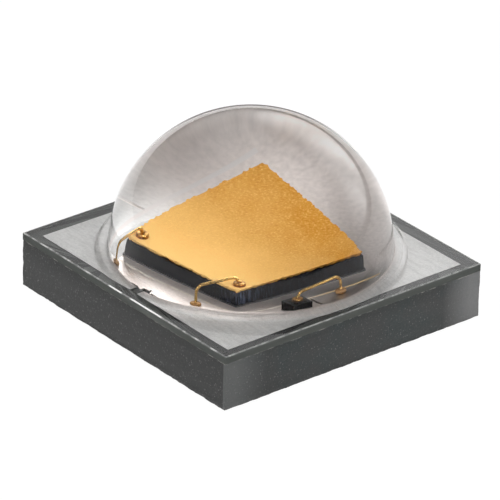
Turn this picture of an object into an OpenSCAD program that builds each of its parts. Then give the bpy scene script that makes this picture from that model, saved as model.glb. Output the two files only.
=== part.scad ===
// High-power white light-emitting diode on a square ceramic carrier, in millimetres.
// The origin is at the centre of the underside, with +Z up. The plus mark is on the -Y edge.

/* [Package] */
// Length of each side of the square package
package_side = 5.0; // [4.8:0.05:5.6]
// Thickness of the ceramic plate
ceramic_t = 0.79; // [0.5:0.01:1.2]
// Thickness of the clear film that covers the ceramic around the dome
film_t = 0.12; // [0.08:0.01:0.2]

/* [Dome] */
// Radius of the dome
dome_r = 2.2; // [2.1:0.01:2.25]
// Radius of the fillet where the dome runs out into its collar
dome_fillet_r = 0.06; // [0.04:0.005:0.08]
// Radius of the low collar around the dome's foot
collar_r = 2.42; // [2.4:0.01:2.44]
// Height of the collar above the film
collar_h = 0.045; // [0.03:0.005:0.06]
// Width of the slope at which the collar comes down to the film
collar_slope_w = 0.09; // [0.06:0.01:0.1]

/* [Silver lands] */
// Thickness of the silver lands
land_t = 0.02; // [0.01:0.005:0.04]
// Bare ceramic between the lands and the sawn edges
land_border = 0.22; // [0.15:0.01:0.28]
// Width of the gap between one land and the next
land_gap = 0.04; // [0.03:0.005:0.07]
// How far the chip's own land reaches past the chip along X
chip_land_margin_x = 0.29; // [0.2:0.01:0.4]
// How far the chip's own land reaches past the chip along Y
chip_land_margin_y = 0.19; // [0.1:0.01:0.3]
// Place along Y of the gap between the two side wings
wing_split_y = -0.155; // [-0.2:0.005:-0.1]
// Length of the slots that part the chip's land from the wings, past the split
wing_slot_len = 1.15; // [0.8:0.05:1.3]

/* [Plus mark] */
// Length of the arm that runs along the edge
plus_len = 0.54; // [0.4:0.02:0.8]
// How far the other arm reaches in from the edge of the silver
plus_depth = 0.5; // [0.36:0.02:0.56]
// Width of the arms
plus_w = 0.18; // [0.1:0.01:0.22]

/* [Chip] */
// Length of each side of the square chip
chip_side = 1.92; // [1.8:0.02:2.1]
// Offset of the chip from the centre of the package along X
chip_x = 0.1; // [-0.1:0.01:0.15]
// Offset of the chip from the centre of the package along Y
chip_y = -0.15; // [-0.2:0.01:0.1]
// Thickness of the chip without its phosphor
chip_t = 0.175; // [0.1:0.005:0.22]
// Thickness of the phosphor layer
phosphor_t = 0.045; // [0.02:0.005:0.06]
// Thickness of the solder under the chip
solder_t = 0.02; // [0.01:0.005:0.03]
// How far the solder shows around the chip
solder_edge = 0.015; // [0.005:0.005:0.05]
// Diameter of the gold contacts on the chip
contact_d = 0.18; // [0.17:0.01:0.2]
// Thickness of the gold contacts on the chip and the protection diode
contact_t = 0.006; // [0.004:0.001:0.01]
// Distance from the contacts' centres to the chip's -Y edge
contact_in_y = 0.17; // [0.13:0.01:0.3]
// Distance from the contacts' centres to the chip's -X and +X edges
contact_in_x = 0.14; // [0.12:0.01:0.3]

/* [Protection diode] */
// Length of each side of the protection diode
esd_side = 0.33; // [0.26:0.01:0.36]
// Thickness of the protection diode
esd_t = 0.13; // [0.08:0.01:0.16]
// Thickness of the solder under the protection diode
esd_solder_t = 0.01; // [0.005:0.001:0.02]
// Clearance between the protection diode and the gap beside the chip's land
esd_clear_x = 0.12; // [0.06:0.01:0.16]
// Clearance between the protection diode and the split between the wings
esd_clear_y = 0.19; // [0.1:0.01:0.3]
// Length of each side of the protection diode's contact
esd_contact_side = 0.2; // [0.16:0.01:0.25]

/* [Bond wires] */
// Diameter of the gold wire
wire_d = 0.042; // [0.025:0.001:0.045]
// Radius of the bends, at the middle of the wire
wire_bend_r = 0.085; // [0.06:0.005:0.1]
// Slope of the long stretch of the two chip wires, in degrees
chip_wire_slope = 5; // [0:1:10]
// Slope of the long stretch of the protection diode's wire, in degrees
esd_wire_slope = 0; // [-8:1:4]
// Slope at which each wire comes down to its bump, in degrees
wire_fall = 50; // [40:1:65]
// Length of the straight stretch at the foot of that fall
wire_tail = 0.02; // [0.01:0.005:0.04]
// Diameter of the ball that is bonded to the silver
ball_d = 0.17; // [0.12:0.01:0.18]
// Height of that ball
ball_h = 0.06; // [0.04:0.002:0.07]
// Height of the cone between the ball and the wire
neck_h = 0.025; // [0.015:0.005:0.035]
// Diameter of the bumps on the chip and the protection diode
bump_d = 0.16; // [0.12:0.01:0.16]
// Height of the bumps above the surface around them
bump_h = 0.044; // [0.03:0.002:0.05]
// Diameter of the flat where a wire is pressed on its bump
stitch_d = 0.085; // [0.06:0.005:0.095]
// Distance from the balls of the chip wires to the gap beside the chip's land
ball_clear_y = 0.24; // [0.1:0.01:0.3]
// Place along X of the ball of the wire on the -X side
left_ball_x = -0.84; // [-1:0.02:-0.7]
// Place along X of the ball of the wire on the +X side
right_ball_x = 0.74; // [0.6:0.02:0.95]
// Distance from the protection diode's ball to the gap beside the chip's land
esd_ball_clear_x = 0.12; // [0.08:0.01:0.2]
// Distance from the protection diode's ball to the split between the wings
esd_ball_clear_y = 0.4; // [0.2:0.01:0.6]

/* [Underside pads and vias] */
// Thickness of the solder pads
pad_t = 0.05; // [0.02:0.01:0.08]
// Length of the three pads along X
pad_len = 4.7; // [4.4:0.05:4.75]
// Width of the two electrode pads
electrode_w = 0.78; // [0.6:0.01:0.95]
// Distance from the electrode pads to the package's edge
electrode_border = 0.14; // [0.1:0.01:0.2]
// Width of the thermal pad
thermal_w = 2.0; // [1.6:0.05:2.4]
// Radius of the pads' corners
pad_corner_r = 0.06; // [0.02:0.01:0.1]
// Diameter of the metal-filled vias through the ceramic
via_d = 0.2; // [0.12:0.01:0.26]
// Distance between neighbouring vias in a row
via_pitch = 0.9; // [0.7:0.05:1]
// Number of vias on each side of the middle of a row
vias_a_side = 2; // [1:1:2]

/* [Hidden] */
$fn = 64;

half = package_side / 2;
ceramic_top = pad_t + ceramic_t;
land_top = ceramic_top + land_t;
film_top = ceramic_top + film_t;
chip_bottom = land_top + solder_t;
chip_top = chip_bottom + chip_t;
phosphor_top = chip_top + phosphor_t;
esd_bottom = land_top + esd_solder_t;
esd_top = esd_bottom + esd_t;
// How far a cutting shape runs past the face that it cuts
over = 0.1;

// Centre of the circle that hollows the dome's fillet, and where the fillet leaves the sphere
fillet_z = collar_h + dome_fillet_r;
foot_r = sqrt(pow(dome_r + dome_fillet_r, 2) - pow(fillet_z, 2));
fillet_start = [foot_r, fillet_z] * dome_r / (dome_r + dome_fillet_r);

// Outlines of the lands
land_half = half - land_border;
chip_land_half = chip_side / 2 + chip_land_margin_x;
chip_land_xs = [chip_x - chip_land_half, chip_x + chip_land_half];
wing_xs = chip_land_xs + [-land_gap, land_gap];
chip_land_low = chip_y - chip_side / 2 - chip_land_margin_y;
slot_end_y = wing_split_y + wing_slot_len;
anode_inner_y = chip_land_low - land_gap;
split_low = wing_split_y - land_gap / 2;
split_high = wing_split_y + land_gap / 2;

// Places of the bonds, as points [x, y]
contact_x = chip_side / 2 - contact_in_x;
contact_y = chip_y - chip_side / 2 + contact_in_y;
chip_contact_points = [[chip_x - contact_x, contact_y], [chip_x + contact_x, contact_y]];
ball_y = anode_inner_y - ball_clear_y;
esd_point = [wing_xs[1] + esd_clear_x + esd_side / 2, split_low - esd_clear_y - esd_side / 2];
esd_ball_point = [wing_xs[1] + esd_ball_clear_x, split_high + esd_ball_clear_y];

wire_r = wire_d / 2;
// Sides of a wire's section, and the steps in degrees along its ball and its bends
wire_sides = 12;
ball_step = 36;
bend_step = 18;
// Height of the wire's end above its bump, so that its cut end stays off the bump
stitch_rise = wire_r * cos(wire_fall);
stitch_h = 2 * stitch_rise;

// Middle line of the electrode pads and of the vias over them
electrode_y = half - electrode_border - electrode_w / 2;
via_xs = [for (side = [-1, 1], i = [1 : vias_a_side]) side * i * via_pitch];

// A block on a rectangle given by two opposite corners
module slab(low, high, bottom, top) {
    translate([low[0], low[1], bottom])
        cube([high[0] - low[0], high[1] - low[1], top - bottom]);
}

// A block centred on a point
module centred_slab(point, size_x, size_y, bottom, top) {
    slab(point - [size_x, size_y] / 2, point + [size_x, size_y] / 2, bottom, top);
}

// A pad with rounded corners, centred on the Y axis
module solder_pad(y, width) {
    straight_x = pad_len - 2 * pad_corner_r;
    straight_y = width - 2 * pad_corner_r;
    translate([0, y, 0])
        linear_extrude(height = pad_t) {
            square([pad_len, straight_y], center = true);
            square([straight_x, width], center = true);
            for (sx = [-1, 1], sy = [-1, 1])
                translate([sx * straight_x / 2, sy * straight_y / 2])
                    circle(r = pad_corner_r);
        }
}

// A row of vias, from the underside of the ceramic to its top
module via_row(y, bottom, top) {
    for (x = via_xs)
        translate([x, y, bottom])
            cylinder(d = via_d, h = top - bottom);
}

module ceramic_substrate() {
    color([0.29, 0.31, 0.3])
        difference() {
            slab([-half, -half], [half, half], pad_t, ceramic_top);
            for (side = [-1, 1])
                via_row(side * electrode_y, pad_t - over, ceramic_top + over);
        }
}

// Window in the silver that shows the ceramic as a plus sign, open to the edge
module plus_window() {
    centred_slab([0, plus_depth / 2 - land_half], plus_len, plus_w, ceramic_top - over, land_top + over);
    slab([-plus_w / 2, -land_half - over], [plus_w / 2, -land_half + plus_depth],
         ceramic_top - over, land_top + over);
}

module anode_land() {
    color([0.8, 0.79, 0.78])
        difference() {
            slab([-land_half, -land_half], [land_half, split_low], ceramic_top, land_top);
            slab([wing_xs[0], anode_inner_y], [wing_xs[1], split_low + over],
                 ceramic_top - over, land_top + over);
            plus_window();
        }
}

module cathode_land() {
    color([0.8, 0.79, 0.78])
        difference() {
            union() {
                slab([-land_half, split_high], [land_half, land_half], ceramic_top, land_top);
                slab([chip_land_xs[0], chip_land_low], [chip_land_xs[1], split_high + over],
                     ceramic_top, land_top);
            }
            gap_outline(ceramic_top - over, land_top + over);
        }
}

// The gap round the chip's own land, on three of its sides
module gap_outline(bottom, top) {
    difference() {
        slab([wing_xs[0], anode_inner_y], [wing_xs[1], slot_end_y], bottom, top);
        slab([chip_land_xs[0], chip_land_low], [chip_land_xs[1], slot_end_y + over],
             bottom - over, top + over);
    }
}

// Pale insulating line that fills that gap
module land_gap_line() {
    color([0.93, 0.9, 0.87])
        gap_outline(ceramic_top, land_top);
}

module anode_vias() {
    color([0.72, 0.45, 0.3])
        via_row(-electrode_y, pad_t, ceramic_top);
}

module cathode_vias() {
    color([0.72, 0.45, 0.3])
        via_row(electrode_y, pad_t, ceramic_top);
}

module anode_pad() {
    color([0.78, 0.66, 0.64])
        solder_pad(-electrode_y, electrode_w);
}

module thermal_pad() {
    color([0.78, 0.66, 0.64])
        solder_pad(0, thermal_w);
}

module cathode_pad() {
    color([0.78, 0.66, 0.64])
        solder_pad(electrode_y, electrode_w);
}

module chip_solder() {
    solder_side = chip_side + 2 * solder_edge;
    color([0.6, 0.58, 0.56])
        centred_slab([chip_x, chip_y], solder_side, solder_side, land_top, chip_bottom);
}

module led_chip() {
    color([0.13, 0.15, 0.19])
        centred_slab([chip_x, chip_y], chip_side, chip_side, chip_bottom, chip_top);
}

module phosphor_layer() {
    color([0.96, 0.72, 0.32])
        difference() {
            centred_slab([chip_x, chip_y], chip_side, chip_side, chip_top, phosphor_top);
            for (p = chip_contact_points)
                translate([p[0], p[1], chip_top - over])
                    cylinder(d = contact_d, h = phosphor_t + 2 * over);
        }
}

module chip_contacts() {
    color([0.85, 0.65, 0.3])
        for (p = chip_contact_points)
            translate([p[0], p[1], chip_top])
                cylinder(d = contact_d, h = contact_t);
}

// A gold ball pressed flat, standing on the point
module pressed_ball(diameter, height) {
    rotate_extrude() {
        square([(diameter - height) / 2, height]);
        translate([(diameter - height) / 2, height / 2])
            intersection() {
                circle(d = height);
                translate([0, -height / 2])
                    square([height / 2, height]);
            }
    }
}

// A bump that starts on a contact and stands proud of the surface around it
module stud_bump(point, bottom, surface) {
    translate([point[0], point[1], bottom])
        cylinder(d = bump_d, h = surface - bottom);
    translate([point[0], point[1], surface])
        pressed_ball(bump_d, bump_h);
}

module chip_bumps() {
    color([0.72, 0.5, 0.2])
        for (p = chip_contact_points)
            stud_bump(p, chip_top + contact_t, phosphor_top);
}

// Stations along a bond wire in the XZ plane, each as [x, z, direction above the horizontal, radius]
function ball_stations() =
    [for (a = [0 : ball_step : 180])
        [0, ball_h * (1 - cos(a)) / 2, 90, (ball_d - ball_h + ball_h * sin(a)) / 2]];

// The direction turns clockwise about the centre, from one direction to the next
function bend_stations(centre, from_angle, to_angle) =
    let (steps = ceil((from_angle - to_angle) / bend_step))
    [for (i = [0 : steps])
        let (angle = from_angle + (to_angle - from_angle) * i / steps)
        [centre[0] - wire_bend_r * sin(angle), centre[1] + wire_bend_r * cos(angle), angle, wire_r]];

function ring(station) =
    [for (k = [0 : wire_sides - 1])
        let (turn = 360 * k / wire_sides, off = station[3] * cos(turn))
        [station[0] - off * sin(station[2]), station[3] * sin(turn), station[1] + off * cos(station[2])]];

// A solid swept through the stations
module swept_wire(stations) {
    last = len(stations) - 1;
    sides = [for (i = [0 : last - 1], k = [0 : wire_sides - 1])
        let (next = (k + 1) % wire_sides, low = i * wire_sides, high = low + wire_sides)
        [low + k, low + next, high + next, high + k]];
    first_cap = [for (k = [wire_sides - 1 : -1 : 0]) k];
    last_cap = [for (k = [0 : wire_sides - 1]) last * wire_sides + k];
    polyhedron([for (s = stations) each ring(s)], concat(sides, [first_cap, last_cap]));
}

// A bond wire from its ball on the silver to the top of a bump.
// It rises from the ball, bends over, runs straight at the slope, bends down and ends in a stitch.
module bond_wire(ball, bump, bump_top, slope) {
    run = norm(bump - ball);
    heading = atan2(bump[1] - ball[1], bump[0] - ball[0]);
    end_z = bump_top + stitch_rise - land_top;
    long_len = (run - wire_bend_r * (1 + sin(wire_fall)) - wire_tail * cos(wire_fall)) / cos(slope);
    rise = end_z - long_len * sin(slope) - wire_bend_r * cos(wire_fall) + wire_tail * sin(wire_fall);
    first_centre = [wire_bend_r, rise];
    last_centre = first_centre + long_len * [cos(slope), sin(slope)];
    translate([ball[0], ball[1], land_top])
        rotate([0, 0, heading]) {
            swept_wire(concat(
                ball_stations(),
                [[0, ball_h + neck_h, 90, wire_r]],
                bend_stations(first_centre, 90, slope),
                bend_stations(last_centre, slope, -wire_fall),
                [[run, end_z, -wire_fall, wire_r]]));
            translate([run, 0, bump_top - land_top])
                cylinder(d = stitch_d, h = stitch_h);
        }
}

module left_bond_wire() {
    color([0.9, 0.68, 0.3])
        bond_wire([left_ball_x, ball_y], chip_contact_points[0], phosphor_top + bump_h,
                  chip_wire_slope);
}

module right_bond_wire() {
    color([0.9, 0.68, 0.3])
        bond_wire([right_ball_x, ball_y], chip_contact_points[1], phosphor_top + bump_h,
                  chip_wire_slope);
}

module esd_solder() {
    color([0.6, 0.58, 0.56])
        centred_slab(esd_point, esd_side, esd_side, land_top, esd_bottom);
}

module esd_diode() {
    color([0.12, 0.12, 0.13])
        centred_slab(esd_point, esd_side, esd_side, esd_bottom, esd_top);
}

module esd_contact() {
    color([0.85, 0.65, 0.3])
        centred_slab(esd_point, esd_contact_side, esd_contact_side, esd_top, esd_top + contact_t);
}

module esd_bump() {
    color([0.72, 0.5, 0.2])
        translate([esd_point[0], esd_point[1], esd_top + contact_t])
            pressed_ball(bump_d, bump_h);
}

module esd_bond_wire() {
    color([0.9, 0.68, 0.3])
        bond_wire(esd_ball_point, esd_point, esd_top + contact_t + bump_h, esd_wire_slope);
}

// Section of the dome with its fillet and its collar, standing on the film
module dome_profile() {
    intersection() {
        circle(r = dome_r);
        square(dome_r + over);
    }
    difference() {
        polygon([[0, 0], [foot_r, 0], [foot_r, fillet_z], fillet_start]);
        translate([foot_r, fillet_z])
            circle(r = dome_fillet_r);
    }
    polygon([[0, 0], [collar_r, 0], [collar_r - collar_slope_w, collar_h], [0, collar_h]]);
}

// The lens and its film are moulded in one piece around everything on top of the ceramic
module silicone_lens() {
    color([0.93, 0.95, 0.96, 0.35])
        difference() {
            union() {
                slab([-half, -half], [half, half], ceramic_top, film_top);
                translate([0, 0, film_top])
                    rotate_extrude()
                        dome_profile();
            }
            anode_land();
            cathode_land();
            land_gap_line();
            chip_solder();
            led_chip();
            phosphor_layer();
            chip_contacts();
            chip_bumps();
            left_bond_wire();
            right_bond_wire();
            esd_solder();
            esd_diode();
            esd_contact();
            esd_bump();
            esd_bond_wire();
        }
}

ceramic_substrate();
anode_land();
cathode_land();
land_gap_line();
anode_vias();
cathode_vias();
anode_pad();
thermal_pad();
cathode_pad();
chip_solder();
led_chip();
phosphor_layer();
chip_contacts();
chip_bumps();
left_bond_wire();
right_bond_wire();
esd_solder();
esd_diode();
esd_contact();
esd_bump();
esd_bond_wire();
silicone_lens();
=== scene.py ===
"""Domed light-emitting diode on a ceramic carrier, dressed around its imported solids.

Shapes are worked in millimetres and brought to metres when a piece is settled.
"""
import logging
import math
from abc import ABC, abstractmethod
from dataclasses import dataclass
from enum import Enum
from typing import Sequence

import bmesh
import bpy
from mathutils import Matrix, Vector, noise


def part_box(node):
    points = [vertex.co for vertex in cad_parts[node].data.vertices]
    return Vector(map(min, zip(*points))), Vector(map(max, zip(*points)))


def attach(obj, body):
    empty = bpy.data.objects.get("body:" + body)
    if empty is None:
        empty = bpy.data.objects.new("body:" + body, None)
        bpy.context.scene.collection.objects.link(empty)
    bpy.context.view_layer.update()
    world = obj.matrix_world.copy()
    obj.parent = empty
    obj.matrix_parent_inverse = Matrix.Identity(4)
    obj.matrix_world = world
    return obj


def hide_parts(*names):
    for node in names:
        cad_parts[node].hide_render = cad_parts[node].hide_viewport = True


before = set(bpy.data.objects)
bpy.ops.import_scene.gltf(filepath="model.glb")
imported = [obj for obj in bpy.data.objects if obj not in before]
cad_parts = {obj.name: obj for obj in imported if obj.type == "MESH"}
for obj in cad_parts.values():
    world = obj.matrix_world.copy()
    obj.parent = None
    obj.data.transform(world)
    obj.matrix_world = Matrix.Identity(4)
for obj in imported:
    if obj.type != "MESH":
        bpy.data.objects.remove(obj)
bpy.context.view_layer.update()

BODY = "root"
MM = 0.001  # metres
SAME = 1e-4  # millimetres within which two measures are taken as one
WELD = 1e-5  # millimetres within which the points of a finished piece are joined
FRAME_PIXELS = 500
WHITE = (1.0, 1.0, 1.0, 1.0)
log = logging.getLogger("diode")

Mesh = bmesh.types.BMesh
Piece = bpy.types.Object
Material = bpy.types.Material
Socket = bpy.types.NodeSocket
Vert = bmesh.types.BMVert
Edge = bmesh.types.BMEdge
Colour = tuple[float, float, float]
Range = tuple[float, float]


class Slot(Enum):
    """Names of material slots."""

    CERAMIC = "ceramic"
    PAD = "solder_pad"
    CHIP = "chip"
    PHOSPHOR = "phosphor"
    GOLD = "gold"
    DIODE = "esd_silicon"
    SILICONE = "silicone"


class Axis(Enum):
    """A direction along which a pattern is stretched."""

    NONE = (1.0, 1.0, 1.0)
    ALONG_X = (0.2, 1.0, 1.0)
    UPRIGHT = (1.0, 1.0, 0.16)


@dataclass(frozen=True)
class Extent:
    """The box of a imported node, in millimetres."""

    low: Vector
    high: Vector

    @classmethod
    def of(cls, node: str) -> "Extent":
        """Read the box of a node.

        Args:
            node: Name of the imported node.

        Returns:
            Its box at rest.
        """
        low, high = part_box(node)
        return cls(low / MM, high / MM)

    @property
    def centre(self) -> Vector:
        """Middle of the box."""
        return (self.low + self.high) / 2

    @property
    def size(self) -> Vector:
        """Lengths of the box's sides."""
        return self.high - self.low


def settle(shape: Mesh, name: str, finishes: Sequence[Material],
           nodes: Sequence[str] = (), crease: float = 35.0) -> Piece:
    """Make a finished piece of a shape worked in millimetres.

    Args:
        shape: The shape, which is used up.
        name: Name of the piece.
        finishes: Its materials, in the order of its faces' material numbers.
        nodes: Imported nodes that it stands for.
        crease: Angle in degrees from which an edge is shaded sharp.

    Returns:
        The piece, riding on the body.
    """
    bmesh.ops.remove_doubles(shape, verts=shape.verts, dist=WELD)
    bmesh.ops.recalc_face_normals(shape, faces=shape.faces)
    bmesh.ops.scale(shape, vec=Vector((MM, MM, MM)), verts=shape.verts)
    mesh = bpy.data.meshes.new(name)
    shape.to_mesh(mesh)
    shape.free()
    mesh.shade_smooth()
    mesh.set_sharp_from_angle(angle=math.radians(crease))
    for finish in finishes:
        mesh.materials.append(finish)
    piece = bpy.data.objects.new(name, mesh)
    bpy.context.scene.collection.objects.link(piece)
    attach(piece, BODY)
    if nodes:
        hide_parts(*nodes)
    return piece


def dress(node: str, finish: Material) -> Piece:
    """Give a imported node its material.

    Args:
        node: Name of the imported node.
        finish: The material for all its faces.

    Returns:
        The node's object.
    """
    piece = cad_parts[node]
    if not piece.material_slots:
        piece.data.materials.append(finish)
    for place in piece.material_slots:
        place.material = finish
    return piece


def ripple(point: Vector, size: float, shift: float = 0.0) -> float:
    """Smooth noise from -1 to 1 at a point.

    Args:
        point: Place in millimetres.
        size: Rough size of one ripple in millimetres.
        shift: Moves the pattern, so that two patterns differ.

    Returns:
        The noise there.
    """
    return noise.noise(point / size + Vector((shift, shift * 1.7, shift * 0.3)))


def rims(shape: Mesh) -> list[Edge]:
    """The edges that bound a shape's openings."""
    return [edge for edge in shape.edges if edge.is_boundary]


def extend(shape: Mesh, rim: Sequence[Edge]) -> tuple[list[Vert], list[Edge]]:
    """Draw new faces out of a rim.

    Args:
        shape: The shape that grows.
        rim: The edges to start from.

    Returns:
        The points and edges of the new rim, which still lies on the old one.
    """
    grown = bmesh.ops.extrude_edge_only(shape, edges=rim)["geom"]
    return ([part for part in grown if isinstance(part, Vert)],
            [part for part in grown if isinstance(part, Edge)])


def lathe(shape: Mesh, profile: Sequence[Range], place: Vector, steps: int) -> None:
    """Turn a profile round an upright axis.

    Args:
        shape: The shape it is added to.
        profile: Points as radius and height.
        place: Where the axis stands.
        steps: Number of steps round it.
    """
    verts = [shape.verts.new(place + Vector((r, 0, z))) for r, z in profile]
    edges = [shape.edges.new(pair) for pair in zip(verts, verts[1:])]
    bmesh.ops.spin(shape, geom=verts + edges, cent=place, axis=(0, 0, 1), angle=math.tau,
                   steps=steps, use_merge=True)


def worn_copy(node: str, bevel: float, step: float, wear: float) -> Mesh:
    """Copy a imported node, round its outer edges and break their straight run.

    Args:
        node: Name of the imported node.
        bevel: Width of the rounding in millimetres.
        step: Distance between points along the edges in millimetres.
        wear: How far the edges are worn inwards at most, in millimetres.

    Returns:
        The shape, in millimetres.
    """
    extent, hard, margin = Extent.of(node), math.radians(50), 0.1
    base, long_wave, short_wave = 0.45, 0.11, 0.04
    shape = bmesh.new()
    shape.from_mesh(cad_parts[node].data)
    bmesh.ops.scale(shape, vec=Vector((1 / MM,) * 3), verts=shape.verts)
    bmesh.ops.remove_doubles(shape, verts=shape.verts, dist=SAME)

    def outer(edge: Edge) -> bool:
        """Tell whether an edge is hard and lies on the outside of the node's box.

        Args:
            edge: The edge.

        Returns:
            Whether it is one to round.
        """
        if len(edge.link_faces) != 2 or edge.calc_face_angle(0.0) < hard:
            return False
        middle = (edge.verts[0].co + edge.verts[1].co) / 2
        reach = [min(middle[i] - extent.low[i], extent.high[i] - middle[i]) for i in (0, 1)]
        return min(reach) < margin * min(extent.size.x, extent.size.y)

    edges = [edge for edge in shape.edges if outer(edge)]
    for edge in edges:
        cuts = int(edge.calc_length() / step)
        if cuts:
            bmesh.ops.subdivide_edges(shape, edges=[edge], cuts=cuts)
    edges = [edge for edge in shape.edges if outer(edge)]
    rounded = bmesh.ops.bevel(shape, geom=edges, offset=bevel, offset_type="OFFSET", profile=0.5,
                              segments=2, affect="EDGES", clamp_overlap=True, material=-1)
    middle = extent.centre
    for vert in set(rounded["verts"]):
        depth = wear * max(0.0, base + ripple(vert.co, long_wave)
                           + 0.6 * ripple(vert.co, short_wave, 5.0))
        for i in range(3):
            vert.co[i] -= math.copysign(depth, vert.co[i] - middle[i])
    return shape


class Graph:
    """The node tree of one material in Object coordinates, or of the room."""

    def __init__(self, name: str, room: bool = False) -> None:
        """Start an empty tree.

        Args:
            name: Name of the material or the room.
            room: Whether it is the room's tree.
        """
        self.owner = (bpy.data.worlds if room else bpy.data.materials).new(name)
        self.owner.use_nodes = True
        self.tree = self.owner.node_tree
        self.tree.nodes.clear()
        places = self.add("ShaderNodeTexCoord").outputs
        self.place = places["Generated" if room else "Object"]
        self.x, self.y, self.z = self.add("ShaderNodeSeparateXYZ", {0: self.place}).outputs

    def add(self, kind: str, inputs: dict[str | int, object] | None = None,
            **settings: object) -> bpy.types.Node:
        """Add a node.

        Args:
            kind: The node's type.
            inputs: Values or sockets for its inputs, by name or number.
            **settings: Values for its properties.

        Returns:
            The node.
        """
        made = self.tree.nodes.new(kind)
        for name, value in settings.items():
            setattr(made, name, value)
        for key, value in (inputs or {}).items():
            self.feed(made.inputs[key], value)
        return made

    def feed(self, socket: Socket, value: object) -> None:
        """Join a socket to an input, or set the input's own value.

        Args:
            socket: The input.
            value: A socket, a number or a colour.
        """
        if isinstance(value, bpy.types.NodeSocket):
            self.tree.links.new(value, socket)
        elif isinstance(value, tuple) and len(value) == 3 and socket.type == "RGBA":
            socket.default_value = (*value, 1.0)
        else:
            socket.default_value = value

    def stretched(self, size: float, along: Axis = Axis.NONE, turn: float = 0.0,
                  shift: float = 0.0) -> Socket:
        """Object coordinates scaled so that one unit is a given size.

        Args:
            size: Size in millimetres.
            along: Direction in which the pattern is drawn out.
            turn: Turn about Z in degrees.
            shift: Moves the pattern, so that two patterns differ.

        Returns:
            The vector socket.
        """
        unit = 1 / (size * MM)
        scale = tuple(unit * part for part in along.value)
        node = self.add("ShaderNodeMapping", {"Vector": self.place})
        node.inputs["Scale"].default_value = scale
        node.inputs["Rotation"].default_value = (0.0, 0.0, math.radians(turn))
        node.inputs["Location"].default_value = (shift, shift * 0.7, shift * 0.4)
        return node.outputs["Vector"]

    def grain(self, size: float, detail: float = 3.0, rough: float = 0.55,
              along: Axis = Axis.NONE, turn: float = 0.0, shift: float = 0.0,
              warp: float = 0.0) -> Socket:
        """Fractal noise of a given size.

        Args:
            size: Size of the largest grains in millimetres.
            detail: How many finer layers it has.
            rough: Strength of the finer layers.
            along: Direction in which the grains are drawn out.
            turn: Turn about Z in degrees.
            shift: Moves the pattern, so that two patterns differ.
            warp: How much the pattern is distorted.

        Returns:
            The noise, from 0 to 1 with its middle at 0.5.
        """
        node = self.add("ShaderNodeTexNoise", {
            "Vector": self.stretched(size, along, turn, shift), "Scale": 1.0, "Detail": detail,
            "Roughness": rough, "Distortion": warp})
        return node.outputs["Fac"]

    def span(self, value: Socket, low: float, high: float, out_low: float = 0.0,
             out_high: float = 1.0) -> Socket:
        """Map a range of places in millimetres onto another range, as level does."""
        return self.level(value, low * MM, high * MM, out_low, out_high)

    def past(self, value: Socket, limit: float) -> Socket:
        """Tell whether a place lies past a limit in millimetres."""
        return self.maths("GREATER_THAN", value, limit * MM)

    def before(self, value: Socket, limit: float) -> Socket:
        """Tell whether a place lies before a limit in millimetres."""
        return self.maths("LESS_THAN", value, limit * MM)

    def both(self, *masks: Socket) -> Socket:
        """Keep what lies in each of several masks.

        Args:
            *masks: The masks or values to multiply.

        Returns:
            Their product.
        """
        total = masks[0]
        for mask in masks[1:]:
            total = self.maths("MULTIPLY", total, mask)
        return total

    def level(self, value: Socket, low: float, high: float, out_low: float = 0.0,
              out_high: float = 1.0) -> Socket:
        """Map a range onto another, without going past its ends.

        Args:
            value: The value to map.
            low: Where the range starts.
            high: Where it ends.
            out_low: What its start becomes.
            out_high: What its end becomes.

        Returns:
            The mapped value.
        """
        node = self.add("ShaderNodeMapRange", {
            "Value": value, "From Min": low, "From Max": high, "To Min": out_low,
            "To Max": out_high}, clamp=True)
        return node.outputs["Result"]

    def maths(self, operation: str, first: object, second: object = 0.0) -> Socket:
        """Work out a value from two others.

        Args:
            operation: Name of the operation.
            first: The first value.
            second: The second value.

        Returns:
            The result.
        """
        return self.add("ShaderNodeMath", {0: first, 1: second}, operation=operation).outputs[0]

    def blend(self, amount: object, first: object, second: object, mode: str = "MIX") -> Socket:
        """Mix two colours.

        Args:
            amount: How much of the second, from 0 to 1.
            first: The first colour.
            second: The second colour.
            mode: Name of the way they are mixed.

        Returns:
            The mixed colour.
        """
        node = self.add("ShaderNodeMix", {0: amount, 6: first, 7: second}, data_type="RGBA",
                        blend_type=mode)
        return node.outputs[2]

    def relief(self, height: Socket, depth: float, strength: float = 1.0,
               under: Socket | None = None) -> Socket:
        """Turn a height into a bumpy normal.

        Args:
            height: The height, from 0 to 1.
            depth: What a height of 1 stands for, in millimetres.
            strength: Share of the relief that shows.
            under: A normal to add this relief to.

        Returns:
            The normal.
        """
        node = self.add("ShaderNodeBump", {"Height": height, "Distance": depth * MM,
                                           "Strength": strength})
        if under is not None:
            self.feed(node.inputs["Normal"], under)
        return node.outputs["Normal"]

    def surface(self, **sockets: object) -> Material:
        """Finish the tree with one Principled shader.

        Args:
            **sockets: Values or sockets for its inputs, with _ for each space.

        Returns:
            The material.
        """
        shader = self.add("ShaderNodeBsdfPrincipled", {
            name.replace("_", " "): value for name, value in sockets.items()})
        return self.show(shader.outputs["BSDF"])

    def show(self, shader: Socket) -> Material:
        """Join a shader to the material's output.

        Args:
            shader: The shader's socket.

        Returns:
            The material.
        """
        self.add("ShaderNodeOutputMaterial", {"Surface": shader})
        return self.owner


class Finish(ABC):
    """A surface finish that can make its material."""

    @abstractmethod
    def make(self) -> Material:
        """Make the material."""


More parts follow.
